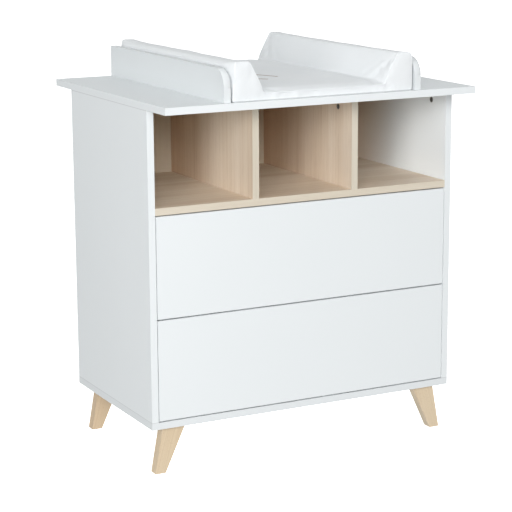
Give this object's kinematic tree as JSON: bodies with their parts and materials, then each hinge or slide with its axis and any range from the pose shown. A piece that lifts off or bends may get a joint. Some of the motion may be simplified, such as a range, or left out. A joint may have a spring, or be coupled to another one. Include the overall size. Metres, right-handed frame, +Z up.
{
  "type": "changing table",
  "caption": "Chest-style changing table: drawers under open bays, a deep top with side rails and a padded mat, on splayed wooden legs.",
  "frame": {"origin": "on the floor, under the middle of the changing board", "axes": "+Z up, the drawer fronts face -Y, +X to the right of a person facing the drawers"},
  "size_m": [0.87, 0.7, 1.036],
  "materials": {
    "white_board": "satin white melamine on chipboard",
    "pale_oak_board": "matt pale oak melamine, fine straight grain",
    "beech": "clear matt lacquer on solid beech",
    "mat_cover": "smooth white coated cover over foam",
    "zinc_alloy": "dull die-cast zinc",
    "zinc_plated_steel": "bright zinc plating",
    "grey_plastic": "moulded grey",
    "white_plastic": "moulded white"
  },
  "bodies": {
    "root": {"bottom_panel": "white_board", "side_panel_left": "white_board", "side_panel_right": "white_board", "shelf_panel": "pale_oak_board", "divider_left": "pale_oak_board", "divider_right": "pale_oak_board", "cubby_back_panel": "pale_oak_board", "lower_back_panel": "white_board", "top_board": "white_board", "rail_left": "white_board", "rail_right": "white_board", "leg_front_left": "beech", "leg_front_right": "beech", "leg_rear_left": "beech", "leg_rear_right": "beech", "leg_bolts": "zinc_plated_steel", "leg_insert_nuts": "zinc_alloy", "leg_glides": "white_plastic", "cam_locks": "zinc_alloy", "cam_bolts": "zinc_plated_steel", "wood_dowels": "beech", "panel_screws": "zinc_plated_steel", "back_panel_nails": "zinc_plated_steel", "cabinet_runner_upper_left": "zinc_plated_steel", "cabinet_runner_upper_right": "zinc_plated_steel", "cabinet_runner_lower_left": "zinc_plated_steel", "cabinet_runner_lower_right": "zinc_plated_steel", "hardware_screws": "zinc_plated_steel", "push_latch_upper": "grey_plastic", "push_latch_lower": "grey_plastic"},
    "mat": {"changing_mat": "mat_cover"},
    "upper_latch_plunger": {"latch_plunger_upper": "white_plastic"},
    "lower_latch_plunger": {"latch_plunger_lower": "white_plastic"},
    "upper_middle_runners": {"middle_runner_upper_left": "zinc_plated_steel", "middle_runner_upper_right": "zinc_plated_steel"},
    "lower_middle_runners": {"middle_runner_lower_left": "zinc_plated_steel", "middle_runner_lower_right": "zinc_plated_steel"},
    "upper_drawer": {"upper_drawer_front": "white_board", "upper_drawer_side_left": "white_board", "upper_drawer_side_right": "white_board", "upper_drawer_back": "white_board", "upper_drawer_base": "white_board", "upper_drawer_runner_left": "zinc_plated_steel", "upper_drawer_runner_right": "zinc_plated_steel", "upper_drawer_cams": "zinc_alloy", "upper_drawer_cam_bolts": "zinc_plated_steel", "upper_drawer_back_screws": "zinc_plated_steel", "upper_drawer_runner_screws": "zinc_plated_steel"},
    "lower_drawer": {"lower_drawer_front": "white_board", "lower_drawer_side_left": "white_board", "lower_drawer_side_right": "white_board", "lower_drawer_back": "white_board", "lower_drawer_base": "white_board", "lower_drawer_runner_left": "zinc_plated_steel", "lower_drawer_runner_right": "zinc_plated_steel", "lower_drawer_cams": "zinc_alloy", "lower_drawer_cam_bolts": "zinc_plated_steel", "lower_drawer_back_screws": "zinc_plated_steel", "lower_drawer_runner_screws": "zinc_plated_steel"}
  },
  "joints": [
    {"name": "upper_drawer_slide", "type": "slide", "parent": "root", "child": "upper_drawer", "axis": [0, -1, 0], "range_m": [-0.002, 0.385]},
    {"name": "upper_middle_runner_slide", "type": "slide", "parent": "root", "child": "upper_middle_runners", "axis": [0, -1, 0], "range_m": [-0.001, 0.1925]},
    {"name": "upper_latch_push", "type": "slide", "parent": "root", "child": "upper_latch_plunger", "axis": [0, 1, 0], "range_m": [0, 0.0025], "stiffness_N_per_m": 300, "springref_m": -0.002},
    {"name": "lower_drawer_slide", "type": "slide", "parent": "root", "child": "lower_drawer", "axis": [0, -1, 0], "range_m": [-0.002, 0.385]},
    {"name": "lower_middle_runner_slide", "type": "slide", "parent": "root", "child": "lower_middle_runners", "axis": [0, -1, 0], "range_m": [-0.001, 0.1925]},
    {"name": "lower_latch_push", "type": "slide", "parent": "root", "child": "lower_latch_plunger", "axis": [0, 1, 0], "range_m": [0, 0.0025], "stiffness_N_per_m": 300, "springref_m": -0.002},
    {"name": "mat_lift", "type": "slide", "parent": "root", "child": "mat", "axis": [0, 0, 1], "range_m": [0, 0.12]}
  ],
  "couplings": [
    {"joint": "upper_middle_runner_slide", "follows": "upper_drawer_slide", "ratio": 0.5},
    {"joint": "lower_middle_runner_slide", "follows": "lower_drawer_slide", "ratio": 0.5}
  ]
}
